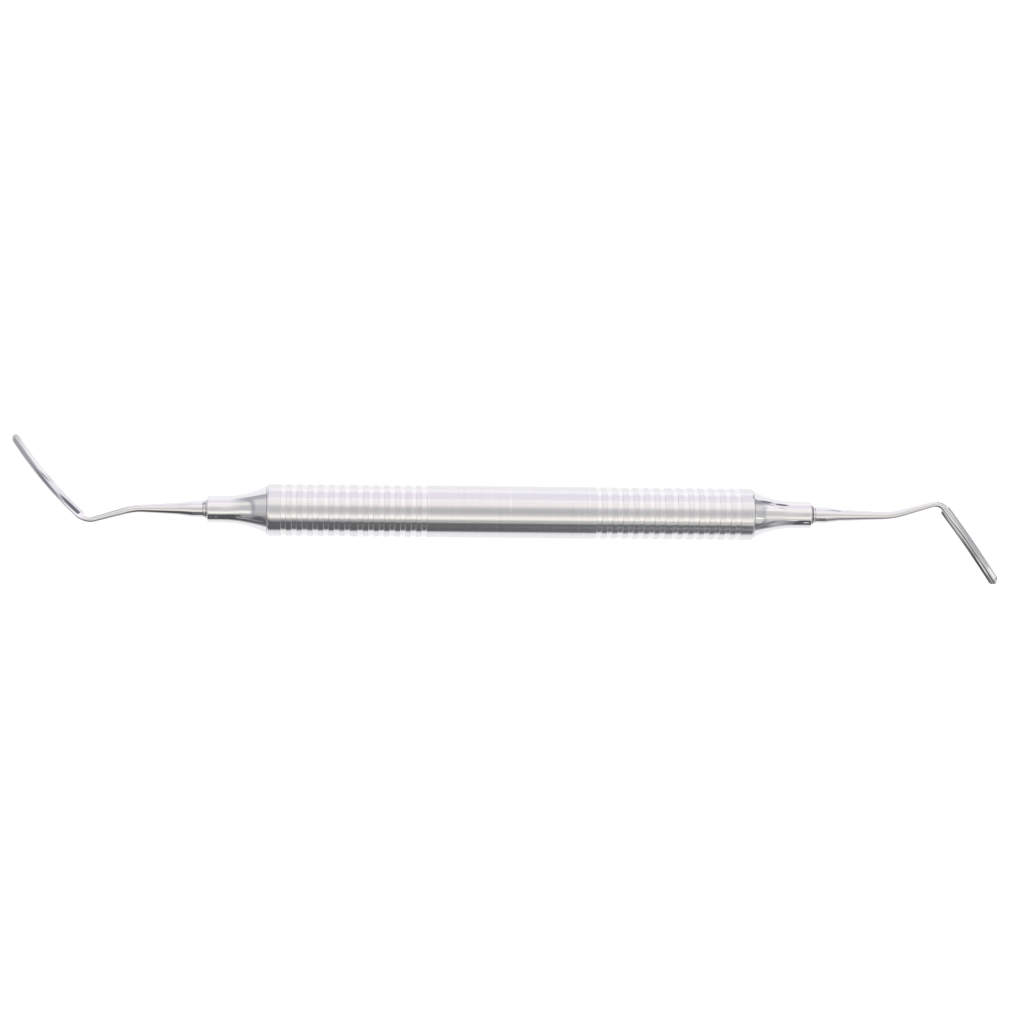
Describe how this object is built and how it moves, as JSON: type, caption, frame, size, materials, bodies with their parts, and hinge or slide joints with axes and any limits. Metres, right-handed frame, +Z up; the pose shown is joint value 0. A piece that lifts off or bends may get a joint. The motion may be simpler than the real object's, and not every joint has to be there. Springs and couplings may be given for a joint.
{
  "type": "periodontal tunneling instrument",
  "caption": "Periodontal tunneling instrument: ringed hollow steel handle with polished ferrules and, at each end, a bent shank that carries a slim curved spatula blade.",
  "frame": {"origin": "under the middle of the handle, on the handle's lowest facet, which is what the instrument lies on", "axes": "+X along the handle towards the end whose blade shows its back, +Y across it towards the side of the other blade, +Z up from the surface it lies on"},
  "size_m": [0.182, 0.0259, 0.0095],
  "materials": {
    "satin_handle": "satin, turned",
    "polished_ferrule": "mirror polished steel",
    "ground_working_end": "ground and polished steel"
  },
  "bodies": {
    "root": {"handle_tube": "satin_handle", "left_ferrule": "polished_ferrule", "right_ferrule": "polished_ferrule", "left_working_end": "ground_working_end", "right_working_end": "ground_working_end"}
  },
  "joints": []
}
